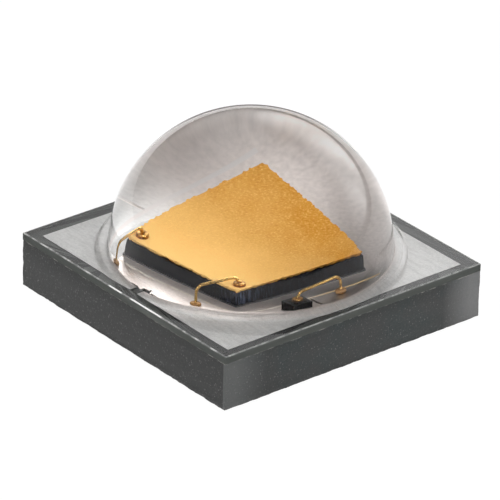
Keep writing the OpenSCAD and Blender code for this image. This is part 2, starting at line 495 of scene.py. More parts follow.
@dataclass(frozen=True)
class SawnCeramic(Finish):
    """Dark green-grey ceramic, sawn on its sides, with fine mineral grain, with painted light at
    both ends of its right side and a faint painted glow in one slot.
    """

    dark: Colour = (0.010, 0.0105, 0.0105)
    pale: Colour = (0.032, 0.033, 0.032)
    green: Colour = (0.014, 0.021, 0.021)
    # The front and end colours are painted light on the two ends of the right side.
    front: Colour = (0.085, 0.088, 0.087)
    fleck: Colour = (0.22, 0.21, 0.21)
    edge: Colour = (0.26, 0.25, 0.23)
    end: Colour = (0.135, 0.135, 0.135)
    flash: Colour = (0.80, 0.76, 0.74)
    grain_size: float = 0.035
    half: float = 2.5
    bottom: float = 0.05
    top: float = 0.84
    lip: float = 0.02
    slot_y: float = -0.155
    slot_half: float = 0.04
    slot_left: float = -1.15
    slot_right: float = 1.72
    slot_end: float = 2.27
    side_from: float = 2.45
    painted_light_near_end: Range = (-1.7, -2.3)
    painted_light_far_end: Range = (1.75, 2.3)
    metal: float = 0.62
    painted_glow: float = 0.35

    def make(self) -> Material:
        """Make the material.

        Returns:
            The material.
        """
        g = Graph("sawn_ceramic")
        fine = g.grain(self.grain_size, 4.0, 0.65)
        colour = g.blend(g.level(fine, 0.36, 0.64), self.dark, self.pale)
        colour = self.right_side(g, colour)
        slot = self.slot(g)
        colour = g.blend(slot, colour, self.flash)
        # Painted glow: the slot's floor left of the chip gives off a faint light in the flash
        # colour.
        left = g.span(g.x, self.slot_left + 0.01, self.slot_left - 0.01, 0.0, self.painted_glow)
        rim = g.span(g.z, self.top - self.lip, self.top - 0.3 * self.lip)
        foot = g.span(g.z, self.bottom + self.lip, self.bottom + 0.3 * self.lip)
        reach = g.maths("MAXIMUM", g.maths("ABSOLUTE", g.x), g.maths("ABSOLUTE", g.y))
        outside = g.span(reach, self.half - 1.5 * self.lip, self.half - self.lip)
        lip = g.both(g.maths("MAXIMUM", rim, foot), outside)
        # The top and bottom rims are lighter in patches.
        rim_patches = g.level(g.grain(0.12, 3.0, 0.7, shift=2.0), 0.48, 0.62)
        colour = g.blend(g.both(lip, rim_patches), colour, self.edge)
        saw = g.grain(0.09, 3.0, 0.6, Axis.UPRIGHT, shift=1.0)
        return g.surface(
            Base_Color=colour, Roughness=g.level(fine, 0.3, 0.7, 0.5, 0.72), IOR=1.6,
            Emission_Color=self.flash, Emission_Strength=g.both(slot, left),
            Metallic=g.maths("MULTIPLY", slot, self.metal),
            Normal=g.relief(fine, 0.006, 0.7, g.relief(saw, 0.006, 0.4)))

    def right_side(self, g: Graph, colour: Socket) -> Socket:
        """Tint the right side face, add the flecks, and paint light onto its two ends.

        Args:
            g: The material's tree.
            colour: The ceramic's colour.

        Returns:
            The tinted colour.
        """
        side = g.past(g.x, self.side_from)
        patch = g.level(g.grain(0.6, 2.0, shift=3.0), 0.42, 0.62, 0.12, 0.85)
        colour = g.blend(g.both(patch, side), colour, self.green)
        # Painted light: the right side turns lighter towards its near end.
        painted_light_near_end = g.span(g.y, *self.painted_light_near_end, 0.0, 0.8)
        colour = g.blend(g.both(painted_light_near_end, side), colour, self.front)
        flecks = g.level(g.grain(0.028, 1.0, shift=8.0), 0.64, 0.74, 0.0, 0.4)
        colour = g.blend(flecks, colour, self.fleck)
        # Painted light: the right side turns lighter towards its far end.
        painted_light_far_end = g.span(g.y, *self.painted_light_far_end, 0.0, 0.85)
        return g.blend(g.both(painted_light_far_end, side), colour, self.end)

    def slot(self, g: Graph) -> Socket:
        """Tell the plated floor of the slot between the silver wings from the rest.

        Args:
            g: The material's tree.

        Returns:
            1 in the slot, and 0 elsewhere.
        """
        plated = g.maths("MAXIMUM", g.before(g.x, self.slot_left),
                         g.past(g.x, self.slot_right))
        inside = g.before(g.maths("ABSOLUTE", g.x), self.slot_end)
        off = g.maths("ABSOLUTE", g.maths("SUBTRACT", g.y, self.slot_y * MM))
        return g.both(plated, inside, g.before(off, self.slot_half))


@dataclass(frozen=True)
class SatinSilver(Finish):
    """Silver plating with a fine satin grain and soft wrinkles, polished round the chip, with a
    painted highlight on the chip's left and painted shade on its right.
    """

    chip_area: tuple[float, float, float, float]
    bright: Colour = (0.86, 0.855, 0.845)
    dull: Colour = (0.74, 0.735, 0.725)
    worn: Colour = (0.56, 0.56, 0.55)
    # This colour darkens the silver on the chip's right: painted shade.
    painted_shade: Colour = (0.53, 0.485, 0.46)
    warmth: Colour = (1.0, 0.91, 0.875)
    chip_half: float = 0.96
    roughness: float = 0.36
    polish: float = 0.34
    metal: float = 0.62
    painted_shade_metal: float = 0.9
    slant: float = 0.16
    dome_foot: Range = (2.09, 2.288)
    shade_x: Range = (0.95, 1.3)
    shade_far: Range = (1.7, 0.9)
    shade_near: Range = (-1.0, -0.5)
    shade_r: Range = (2.12, 1.85)
    wing_y: Range = (0.4, -0.4)

    def make(self) -> Material:
        """Make the material.

        Returns:
            The material.
        """
        g = Graph("satin_silver")
        fine = g.grain(0.045, 3.0, 0.6)
        streak = g.grain(0.07, 3.0, 0.6, Axis.ALONG_X, 20.0, shift=2.0)
        wrinkle = g.grain(0.2, 4.0, 0.6, warp=0.8, shift=4.0)
        polished, painted_highlight = self.near_chip(g)
        outside = g.span(self.radius(g), *self.dome_foot)
        colour = g.blend(g.level(fine, 0.34, 0.7), self.bright, self.dull)
        worn = g.both(outside, g.level(streak, 0.46, 0.72, 0.0, 0.45))
        colour = g.blend(worn, colour, self.worn)
        warm = g.blend(1.0, colour, self.warmth, "MULTIPLY")
        colour = g.blend(g.maths("MAXIMUM", outside, self.wing(g)), warm, colour)
        # Painted highlight: the polished land left of the chip is painted plain white.
        colour = g.blend(painted_highlight, colour, WHITE[:3])
        # Painted shade: the silver on the chip's right is darkened.
        shade = self.shade(g)
        colour = g.blend(shade, colour, self.painted_shade)
        open_air = g.level(outside, 0.0, 1.0, 0.06, 1.0)
        bump = g.relief(g.both(wrinkle, open_air), 0.022, 0.5,
                        g.relief(g.both(fine, open_air), 0.002, 0.5))
        satin = g.level(fine, 0.3, 0.7, self.roughness - 0.05, self.roughness + 0.07)
        smoother = g.both(g.maths("SUBTRACT", satin, self.polish), polished)
        metal = g.level(shade, 0.0, 1.0, self.metal, self.painted_shade_metal)
        return g.surface(Base_Color=colour, Normal=bump,
                         Metallic=g.both(metal, g.maths("SUBTRACT", 1.0, painted_highlight)),
                         Roughness=g.maths("SUBTRACT", satin, smoother))

    def radius(self, g: Graph) -> Socket:
        """Distance from the dome's axis."""
        return g.maths("SQRT", g.maths("ADD", g.both(g.x, g.x), g.both(g.y, g.y)))

    def shade(self, g: Graph) -> Socket:
        """Mask of the painted shade on the silver on the chip's right."""
        return g.both(g.span(g.x, *self.shade_x), g.span(g.y, *self.shade_far),
                      g.span(self.radius(g), *self.shade_r), g.span(g.y, *self.shade_near))

    def wing(self, g: Graph) -> Socket:
        """Mask of the silver on the chip's left, which is kept without the warm tint."""
        left = g.span(g.x, self.chip_area[0] + 0.25, self.chip_area[0] + 0.1)
        return g.both(left, g.span(g.y, *self.wing_y))

    def near_chip(self, g: Graph) -> tuple[Socket, Socket]:
        """Tell the polished land under the chip and the painted highlight on it from the rest.

        Args:
            g: The material's tree.

        Returns:
            1 on the polished land, and 1 on the part of it left of the chip, which is painted white
            as a highlight.
        """
        low_x, high_x, low_y, high_y = self.chip_area
        border = g.span(g.y, low_y, high_y, low_x * MM, (low_x + self.slant) * MM)
        polished = g.both(g.maths("GREATER_THAN", g.x, border), g.before(g.x, high_x),
                          g.past(g.y, low_y), g.span(g.y, high_y, high_y - 0.25))
        left = g.before(g.x, (low_x + high_x) / 2 - self.chip_half)
        return polished, g.both(polished, left)


@dataclass(frozen=True)
class GapLine(Finish):
    """Pale insulating line, cream in front, with a painted reflection of gold on the right, plated
    over on the left.
    """

    cream: Colour = (0.90, 0.84, 0.76)
    warm: Colour = (0.66, 0.56, 0.48)
    painted_gold_reflection: Colour = (0.72, 0.52, 0.26)
    plated: Colour = (0.80, 0.75, 0.73)
    chip_x: float = 0.1
    side: float = 1.2
    painted_gold_reflection_y: Range = (-0.3, 0.2)
    metal: float = 0.62

    def make(self) -> Material:
        """Make the material.

        Returns:
            The material.
        """
        g = Graph("pale_gap_line")
        mottle = g.grain(0.08, 3.0, 0.6)
        colour = g.blend(g.level(mottle, 0.42, 0.75), self.cream, self.warm)
        # Painted reflection: the line turns golden on the right, near the gold wire's ball.
        right = g.past(g.x, self.chip_x + self.side)
        colour = g.blend(g.both(right, g.span(g.y, *self.painted_gold_reflection_y)), colour, self.painted_gold_reflection)
        left = g.before(g.x, self.chip_x - self.side)
        colour = g.blend(left, colour, self.plated)
        return g.surface(Base_Color=colour, Metallic=g.maths("MULTIPLY", left, self.metal),
                         Roughness=g.level(left, 0.0, 1.0, 0.5, 0.36),
                         Normal=g.relief(mottle, 0.002, 0.4))


@dataclass(frozen=True)
class PlatedPad(Finish):
    """Pinkish plated pad with small scuffs."""

    bright: Colour = (0.72, 0.60, 0.57)
    dull: Colour = (0.42, 0.33, 0.31)

    def make(self) -> Material:
        """Make the material.

        Returns:
            The material.
        """
        g = Graph("plated_pad")
        fine = g.grain(0.06, 4.0, 0.65)
        scuff = g.grain(0.5, 4.0, 0.7, Axis.ALONG_X, shift=6.0)
        colour = g.blend(g.level(fine, 0.35, 0.68), self.bright, self.dull)
        bump = g.relief(fine, 0.006, 0.6, g.relief(scuff, 0.008, 0.3))
        return g.surface(Base_Color=colour, Metallic=1.0, Normal=bump,
                         Roughness=g.level(scuff, 0.3, 0.7, 0.3, 0.48))


@dataclass(frozen=True)
class ViaMetal(Finish):
    """Copper filling with a coarse, slightly porous face."""

    bright: Colour = (0.78, 0.42, 0.26)
    dull: Colour = (0.35, 0.17, 0.10)

    def make(self) -> Material:
        """Make the material.

        Returns:
            The material.
        """
        g = Graph("via_metal")
        pores = g.grain(0.03, 3.0, 0.6)
        colour = g.blend(g.level(pores, 0.4, 0.7), self.bright, self.dull)
        return g.surface(Base_Color=colour, Metallic=1.0, Roughness=0.42,
                         Normal=g.relief(pores, 0.004, 0.6))


@dataclass(frozen=True)
class DullSolder(Finish):
    """Grey solder with a frosted, grainy skin."""

    bright: Colour = (0.16, 0.155, 0.16)
    dull: Colour = (0.05, 0.05, 0.055)

    def make(self) -> Material:
        """Make the material.

        Returns:
            The material.
        """
        g = Graph("dull_solder")
        skin = g.grain(0.04, 4.0, 0.7)
        colour = g.blend(g.level(skin, 0.35, 0.65), self.bright, self.dull)
        return g.surface(Base_Color=colour, Metallic=0.5, Roughness=0.5,
                         Normal=g.relief(skin, 0.006, 0.6))


@dataclass(frozen=True)
class SawnCrystal(Finish):
    """Dark sawn crystal with upright saw marks, pale only towards the front as a painted highlight,
    and faint coloured specks.
    """

    name: str = "sawn_crystal"
    dark: Colour = (0.005, 0.005, 0.007)
    pale: Colour = (0.12, 0.145, 0.21)
    warm: Colour = (0.045, 0.022, 0.026)
    mark_size: float = 0.03
    lit_y: Range = (-0.5, -1.0)
    lit_x: Range = (0.7, 1.05)

    def make(self) -> Material:
        """Make the material.

        Returns:
            The material.
        """
        g = Graph(self.name)
        marks = g.grain(self.mark_size, 3.0, 0.65, Axis.UPRIGHT)
        specks = g.grain(0.03, 2.0, 0.6, shift=7.0)
        # Painted highlight: the saw marks turn pale blue only towards the front.
        front = g.both(g.span(g.y, *self.lit_y, 0.1), g.span(g.x, *self.lit_x, 0.1))
        colour = g.blend(g.both(g.level(marks, 0.46, 0.66), front), self.dark, self.pale)
        colour = g.blend(g.level(specks, 0.58, 0.72, 0.0, 0.7), colour, self.warm)
        return g.surface(Base_Color=colour, Roughness=g.level(specks, 0.3, 0.7, 0.4, 0.6),
                         IOR=1.3, Normal=g.relief(marks, 0.006, 0.6))


@dataclass(frozen=True)
class Phosphor(Finish):
    """Warm yellow phosphor in clear binder, matte and fine-grained, paler towards the front as
    painted light and faintly glowing in front as a painted glow.
    """

    body: Colour = (0.67, 0.31, 0.048)
    pale: Colour = (1.0, 0.63, 0.22)
    deep: Colour = (0.56, 0.195, 0.018)
    # The next two fields set a painted glow in front.
    glow: float = 0.2
    painted_glow_y: Range = (0.1, -0.8)
    painted_light_y: Range = (0.55, -1.05)

    def make(self) -> Material:
        """Make the material.

        Returns:
            The material.
        """
        g = Graph("phosphor")
        fine = g.grain(0.024, 3.0, 0.65)
        cloud = g.grain(0.5, 3.0, 0.5, shift=5.0)
        colour = g.blend(g.level(fine, 0.52, 0.72), self.body, self.deep)
        colour = g.blend(g.level(fine, 0.46, 0.30, 0.0, 0.55), colour, self.pale)
        colour = g.blend(g.level(cloud, 0.4, 0.65, 0.0, 0.2), colour, self.pale)
        # Painted light: the phosphor turns paler towards the front.
        colour = g.blend(g.span(g.y, *self.painted_light_y, 0.0, 0.9), colour, self.pale)
        # Painted glow: the phosphor gives off a faint light in front, though it is no lamp.
        glow = g.span(g.y, *self.painted_glow_y, 0.0, self.glow)
        return g.surface(Base_Color=colour, Roughness=0.75, IOR=1.15,
                         Emission_Color=colour, Emission_Strength=glow,
                         Normal=g.relief(fine, 0.003, 0.6))


@dataclass(frozen=True)
class BondGold(Finish):
    """Bright gold, drawn or pressed."""

    name: str = "bond_gold"
    bright: Colour = (0.92, 0.62, 0.22)
    dull: Colour = (0.50, 0.25, 0.06)
    roughness: float = 0.24
    pressed: Colour = (0.46, 0.24, 0.08)
    ball_top: float = 0.925

    def make(self) -> Material:
        """Make the material.

        Returns:
            The material.
        """
        g = Graph(self.name)
        marks = g.grain(0.02, 3.0, 0.6)
        colour = g.blend(g.level(marks, 0.42, 0.7), self.bright, self.dull)
        ball = g.span(g.z, self.ball_top + 0.01, self.ball_top)
        colour = g.blend(ball, colour, self.pressed)
        rough = g.level(marks, 0.3, 0.7, self.roughness - 0.06, self.roughness + 0.1)
        return g.surface(Base_Color=colour, Metallic=g.level(ball, 0.0, 1.0, 1.0, 0.5),
                         Normal=g.relief(marks, 0.002, 0.6),
                         Roughness=g.maths("ADD", rough, g.maths("MULTIPLY", ball, 0.2)))


@dataclass(frozen=True)
class PaintedEdgeLight(Finish):
    """Frosted rounded top edge of the film, with painted shade on the sides other than the front
    and a painted highlight in two stretches in front.
    """

    pale: Colour = (0.95, 0.95, 0.93)
    grey: Colour = (0.60, 0.60, 0.58)
    dark: Colour = (0.15, 0.155, 0.15)
    painted_highlight_runs: tuple[Range, ...] = ((-0.36, 0.0), (0.18, 0.98))
    soft: float = 0.05
    reach: float = 2.4

    def make(self) -> Material:
        """Make the material.

        Returns:
            The material.
        """
        g = Graph("painted_edge_light")
        colour = g.blend(g.level(g.grain(0.14, 3.0, 0.6, shift=3.0), 0.4, 0.6), self.dark,
                         self.grey)
        # Painted shade: the edge is darker on all but the front side.
        side = g.before(g.y, -self.reach)
        colour = g.blend(g.level(side, 0.0, 1.0, 0.6, 0.0), colour, self.dark)
        # Painted highlight: two bright stretches along the front side.
        for low, high in self.painted_highlight_runs:
            run = g.both(g.span(g.x, low, low + self.soft),
                         g.span(g.x, high, high - self.soft))
            colour = g.blend(g.both(run, side), colour, self.pale)
        return g.surface(Base_Color=colour, Roughness=0.4, IOR=1.54, Transmission_Weight=0.2)


@dataclass(frozen=True)
class ClearSilicone(Finish):
    """Clear silicone rubber with painted shade as a thin dark outline high on the dome, frosted
    where sawn.
    """

    name: str = "clear_silicone"
    tint: Colour = (0.985, 0.985, 0.98)
    roughness: float = 0.0
    relief_depth: float = 0.0
    clearness: float = 1.0
    ior: float = 1.54
    # The limb fields draw a thin dark outline where the dome turns away: painted shade.
    limb: Colour = (0.16, 0.14, 0.14)
    limb_from: float = 2.25
    limb_fade: float = 0.6
    limb_facing: Range = (0.85, 0.875)
    gloss: float = 0.35

    def make(self) -> Material:
        """Make the material.

        Returns:
            The material.
        """
        g = Graph(self.name)
        facing = g.add("ShaderNodeLayerWeight", {"Blend": 0.5}).outputs["Facing"]
        # Painted shade: a dark outline where the dome turns away from the eye, high up.
        limb = g.both(g.level(facing, *self.limb_facing),
                      g.span(g.z, self.limb_from, self.limb_from + self.limb_fade))
        clear = g.maths("MULTIPLY", g.level(limb, 0.0, 1.0, 1.0, 0.1), self.clearness)
        sockets: dict[str, object] = {}
        if self.relief_depth:
            saw = g.grain(0.05, 3.0, 0.6, Axis.UPRIGHT)
            sockets["Normal"] = g.relief(saw, self.relief_depth, 0.6)
        return g.surface(Base_Color=g.blend(limb, self.tint, self.limb), IOR=self.ior,
                         Roughness=self.roughness, Transmission_Weight=clear,
                         Specular_IOR_Level=0.0, Specular_Tint=(self.gloss,) * 3, **sockets)


class SubAssembly(ABC):
    """A group of pieces that is built and dressed together."""

    @abstractmethod
    def build(self) -> list[Piece]:
        """Build and dress the pieces."""


@dataclass
class Carrier(SubAssembly):
    """The ceramic plate with its vias and the pads underneath."""

    ceramic_bevel: float = 0.014
    ceramic_wear: float = 0.006
    pad_bevel: float = 0.01
    pad_wear: float = 0.008
    edge_step: float = 0.05

    def build(self) -> list[Piece]:
        """Build and dress the pieces.

        Returns:
            The pieces.
        """
        ceramic = SawnCeramic().make()
        plated = PlatedPad().make()
        via = ViaMetal().make()
        plate = worn_copy("ceramic_substrate", self.ceramic_bevel, self.edge_step,
                          self.ceramic_wear)
        made = [settle(plate, "carrier_plate", [ceramic], ["ceramic_substrate"])]
        for node in ("anode_pad", "thermal_pad", "cathode_pad"):
            pad = worn_copy(node, self.pad_bevel, self.edge_step, self.pad_wear)
            made.append(settle(pad, f"{node}_metal", [plated], [node]))
        made += [dress(node, via) for node in ("anode_vias", "cathode_vias")]
        return made


@dataclass
class Lands(SubAssembly):
    """The silver lands on top of the plate, with the pale line between them."""

    gap: float = 0.04

    def build(self) -> list[Piece]:
        """Dress the two lands and the line.

        Returns:
            The pieces.
        """
        line = Extent.of("land_gap_line")
        area = (line.low.x + self.gap, line.high.x - self.gap, line.low.y + self.gap, line.high.y)
        silver = SatinSilver(area).make()
        made = [dress(node, silver) for node in ("anode_land", "cathode_land")]
        return [*made, dress("land_gap_line", GapLine().make())]


@dataclass
class Chip(SubAssembly):
    """The chip on its solder, with the phosphor that covers it."""

    cell: float = 0.02
    side_wear: float = 0.028
    undercut: float = 0.03
    top_grain: float = 0.003
    grain_sizes: Range = (0.045, 0.02)
    side_sizes: Range = (0.06, 0.027)
    contact_d: float = 0.18
    body_bevel: float = 0.012
    edge_step: float = 0.04
    wear: float = 0.004

    def build(self) -> list[Piece]:
        """Build and dress the pieces.

        Returns:
            The pieces.
        """
        crystal = SawnCrystal().make()
        solder = DullSolder().make()
        gold = BondGold("contact_gold").make()
        body = worn_copy("led_chip", self.body_bevel, self.edge_step, self.wear)
        return [
            settle(body, "chip_crystal", [crystal], ["led_chip"]),
            settle(self.phosphor(), "phosphor_cover", [Phosphor().make()],
                   ["phosphor_layer"], crease=60.0),
            dress("chip_solder", solder),
            dress("chip_contacts", gold),
        ]

    def phosphor(self) -> Mesh:
        """Shape the grainy phosphor layer with its two openings.

        Returns:
            The shape, in millimetres.
        """
        extent = Extent.of("phosphor_layer")
        half, middle = extent.size.x / 2, extent.centre
        cells = round(extent.size.x / self.cell)
        shape = bmesh.new()
        bmesh.ops.create_grid(shape, x_segments=cells, y_segments=cells, size=half)
        bmesh.ops.translate(shape, verts=shape.verts, vec=(middle.x, middle.y, extent.high.z))
        contacts = Extent.of("chip_contacts")
        radius = self.contact_d / 2
        places = [Vector((contacts.low.x + radius, contacts.centre.y)),
                  Vector((contacts.high.x - radius, contacts.centre.y))]

        inside = [face for face in shape.faces if any(
            (face.calc_center_median().xy - place).length < radius for place in places)]
        bmesh.ops.delete(shape, geom=inside, context="FACES")
        for vert in shape.verts:
            if vert.is_boundary:
                for place in places:
                    away = vert.co.xy - place
                    if away.length < radius + self.cell:
                        vert.co.xy = place + away.normalized() * radius
        top = list(shape.verts)
        for vert in extend(shape, rims(shape))[0]:
            vert.co.z = extent.low.z
        bmesh.ops.triangle_fill(shape, use_beauty=True, use_dissolve=False, edges=rims(shape))
        self.roughen(shape, top, extent)
        return shape

    def roughen(self, shape: Mesh, top: Sequence[Vert], extent: Extent) -> None:
        """Give the layer its grain and its uneven outline.

        Args:
            shape: The shape to roughen.
            top: The points of its upper face.
            extent: The box that it stays in.
        """
        middle, half = extent.centre, extent.size.x / 2
        upper = set(top)
        (coarse, fine), (wide, narrow) = self.grain_sizes, self.side_sizes
        for vert in shape.verts:
            point = vert.co.copy()
            grain = ripple(point, coarse) + 0.6 * ripple(point, fine, 3.0)
            if vert in upper:
                vert.co.z -= self.top_grain * abs(grain)
            reach = max(abs(point.x - middle.x), abs(point.y - middle.y))
            if reach > half - SAME:
                bite = self.side_wear * max(0.0, 0.3 + ripple(point, wide, 9.0)
                                            + 0.8 * ripple(point, narrow, 11.0))
                if vert not in upper:
                    bite += self.undercut
                for i in (0, 1):
                    if abs(point[i] - middle[i]) > half - SAME:
                        vert.co[i] -= math.copysign(bite, point[i] - middle[i])
                if vert in upper:
                    vert.co.z -= 0.3 * bite


@dataclass(frozen=True)
class Station:
    """One section along a wire, in the plane of its run."""

    x: float
    z: float
    lean: float
    radius: float
    wide: float = 1.0


@dataclass
class BondWire(SubAssembly):
    """A gold wire from its ball on the silver to the stitch on a bump."""

    node: str
    ball: Vector
    bump: Vector
    bump_top: float
    slope: float
    wire_d: float = 0.042
    bend_r: float = 0.12
    fall: float = 50.0
    tail: float = 0.02
    ball_d: float = 0.17
    ball_h: float = 0.06
    neck_h: float = 0.025
    neck_share: float = 0.62
    sides: int = 20
    # Past the bump's middle, height in radii, lean in degrees, share of the radius, width.
    stitch: tuple[tuple[float, float, float, float, float], ...] = (
        (-0.030, 1.25, -30.0, 1.0, 1.15), (-0.006, 0.72, -24.0, 0.62, 1.9),
        (0.016, 0.42, -12.0, 0.42, 2.9), (0.032, 0.30, -12.0, 0.26, 3.0),
        (0.040, 0.24, -12.0, 0.08, 3.0))

    def build(self) -> list[Piece]:
        """Build and dress the wire.

        Returns:
            The pieces.
        """
        shape = self.sweep(self.stations())
        return [settle(shape, f"{self.node}_drawn", [BondGold().make()],
                       [self.node], crease=50.0)]

    def bend(self, centre: Range, start: float, end: float,
             steps: int = 10) -> list[Station]:
        """Lay stations round a bend that turns downwards.

        Args:
            centre: Centre of the bend, as run and height.
            start: Direction above the horizontal where it starts, in degrees.
            end: Direction where it ends, in degrees.
            steps: Number of steps.

        Returns:
            The stations, with both ends.
        """
        laid = []
        for i in range(steps + 1):
            lean = math.radians(start + (end - start) * i / steps)
            laid.append(Station(centre[0] - self.bend_r * math.sin(lean),
                                centre[1] + self.bend_r * math.cos(lean), lean, self.wire_d / 2))
        return laid

    def stations(self) -> list[Station]:
        """Lay the wire's stations from its ball to its stitch.

        Returns:
            The stations, in the plane of the run.
        """
        radius, up = self.wire_d / 2, math.radians(90)
        fall, slope = math.radians(self.fall), math.radians(self.slope)
        run = (self.bump - self.ball).to_2d().length
        end_z = self.bump_top + radius * math.cos(fall) - self.ball.z
        straight = (run - self.bend_r * (1 + math.sin(fall)) - self.tail * math.cos(fall))
        straight /= math.cos(slope)
        rise = (end_z - straight * math.sin(slope) - self.bend_r * math.cos(fall)
                + self.tail * math.sin(fall))
        last = (self.bend_r + straight * math.cos(slope), rise + straight * math.sin(slope))
        core = (self.ball_d - self.ball_h) / 2
        laid = [Station(0, self.ball_h * (1 - math.cos(a)) / 2, up,
                        core + self.ball_h / 2 * math.sin(a))
                for a in (math.pi * i / 8 for i in range(9))]
        laid += [Station(0, self.ball_h + self.neck_h * t, up,
                         radius + (core * self.neck_share - radius) * (1 - t) ** 2)
                 for t in (0.02, 0.25, 0.5, 0.75, 1.0)]
        laid += self.bend((self.bend_r, rise), 90, self.slope)
        laid += self.bend(last, self.slope, -self.fall)[1:-2]
        over = self.bump_top - self.ball.z
        laid += [Station(run + past, over + radius * high, math.radians(lean), radius * share, wide)
                 for past, high, lean, share, wide in self.stitch]
        return laid

    def matrix(self, station: Station) -> Matrix:
        """Where a unit circle goes at a station.

        Args:
            station: The station.

        Returns:
            The matrix from a unit circle round Z to the station's section.
        """
        heading = math.atan2(self.bump.y - self.ball.y, self.bump.x - self.ball.x)
        frame_turn = (Matrix.Translation(self.ball) @ Matrix.Rotation(heading, 4, "Z")
                      @ Matrix.Translation(Vector((station.x, 0, station.z)))
                      @ Matrix.Rotation(math.pi / 2 - station.lean, 4, "Y"))
        return frame_turn @ Matrix.Diagonal((station.radius, station.radius * station.wide,
                                             1.0, 1.0))

    def sweep(self, stations: Sequence[Station]) -> Mesh:
        """Draw a ring through the stations.

        Args:
            stations: The stations, in order.

        Returns:
            The closed shape, in millimetres.
        """
        shape = bmesh.new()
        at = self.matrix(stations[0])
        made = bmesh.ops.create_circle(shape, cap_ends=True, segments=self.sides, radius=1.0,
                                       matrix=at)
        ring = list({e for v in made["verts"] for e in v.link_edges})
        for station in stations[1:]:
            new, ring = extend(shape, ring)
            there = self.matrix(station)
            bmesh.ops.transform(shape, matrix=there @ at.inverted(), verts=new)
            at = there
        bmesh.ops.contextual_create(shape, geom=ring)
        return shape


@dataclass
class Bumps(SubAssembly):
    """Gold bumps that a wire is pressed on."""

    node: str
    count: int
    shoulder: float
    bump_d: float = 0.16
    foot_share: float = 0.98
    turns: int = 24
    dent: float = 0.012
    dent_size: float = 0.035
    bright: Colour = (0.72, 0.40, 0.12)
    dull: Colour = (0.14, 0.055, 0.015)

    def build(self) -> list[Piece]:
        """Build and dress the bumps.

        Returns:
            The pieces.
        """
        extent = Extent.of(self.node)
        radius = self.bump_d / 2
        places = [extent.centre.x] if self.count == 1 else [extent.low.x + radius,
                                                            extent.high.x - radius]
        shape = bmesh.new()
        for i, x in enumerate(places):
            self.add_bump(shape, Vector((x, extent.centre.y, 0)), extent, 3.0 * i)
        gold = BondGold(f"{self.node}_gold", self.bright, self.dull, 0.32).make()
        return [settle(shape, f"{self.node}_pressed", [gold], [self.node], 60.0)]

    def add_bump(self, shape: Mesh, place: Vector, extent: Extent, shift: float) -> None:
        """Turn one bump and dent it.

        Args:
            shape: The shape it is added to.
            place: Where it stands.
            extent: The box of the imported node.
            shift: Makes the dents differ from the other bump's.
        """
        radius, top = self.bump_d / 2, extent.high.z
        height = top - self.shoulder
        profile = [(0.0, extent.low.z), (radius * self.foot_share, extent.low.z)]
        if self.shoulder - extent.low.z > SAME:
            profile.append((radius * self.foot_share, self.shoulder))
        profile += [(radius - height / 2 + height / 2 * math.sin(a),
                     self.shoulder + height * (1 - math.cos(a)) / 2)
                    for a in (math.pi * (i + 0.5) / 8 for i in range(8))]
        profile.append((0.0, top))
        lathe(shape, profile, place, self.turns)
        for vert in shape.verts:
            away = vert.co - place
            if away.to_2d().length < radius * 1.2 and vert.co.z > self.shoulder + 0.004:
                dent = self.dent * ripple(vert.co, self.dent_size, shift)
                vert.co.x += dent * (1 if away.x > 0 else -1)
                vert.co.z = min(top, vert.co.z - abs(dent) * 0.6)


@dataclass
class ProtectionDiode(SubAssembly):
    """The small protection diode beside the chip, with its solder and contact."""

    body_bevel: float = 0.008
    edge_step: float = 0.03
    wear: float = 0.003

    def build(self) -> list[Piece]:
        """Build and dress the pieces.

        Returns:
            The pieces.
        """
        silicon = SawnCrystal("sawn_silicon", (0.010, 0.010, 0.011), (0.045, 0.045, 0.050),
                              (0.050, 0.030, 0.030)).make()
        body = worn_copy("esd_diode", self.body_bevel, self.edge_step, self.wear)
        return [
            settle(body, "diode_silicon", [silicon], ["esd_diode"]),
            dress("esd_solder", DullSolder().make()),
            dress("esd_contact", BondGold("diode_contact_gold", (0.05, 0.032, 0.018),
                                          (0.012, 0.01, 0.009), 0.5).make()),
        ]


